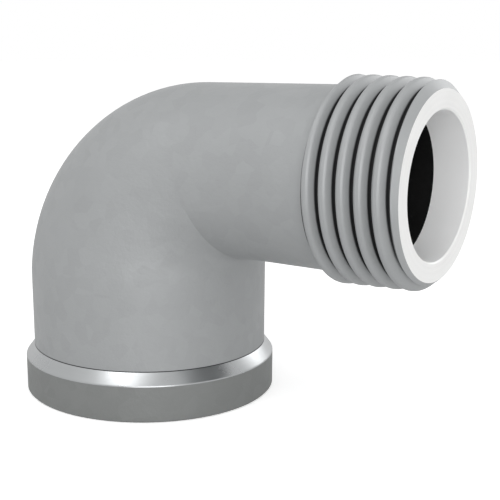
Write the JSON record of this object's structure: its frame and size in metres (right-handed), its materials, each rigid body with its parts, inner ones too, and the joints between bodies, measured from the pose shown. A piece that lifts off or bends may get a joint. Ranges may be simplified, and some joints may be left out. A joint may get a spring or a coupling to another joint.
{
  "type": "street elbow",
  "caption": "90 degree street elbow for pipe: banded female end with a tapping bore, cast bend, neck and a tapered male threaded end.",
  "frame": {"origin": "centre of the female mouth, in the plane of the band's end face", "axes": "+Z along the female axis into the fitting, +X along the male axis out of the male end"},
  "size_m": [0.0523, 0.0304, 0.0377],
  "materials": {
    "galvanised_malleable_iron": "cast and hot-dip galvanised, with the ends and the threads machined"
  },
  "bodies": {
    "root": {"street_elbow": "galvanised_malleable_iron"}
  },
  "joints": []
}
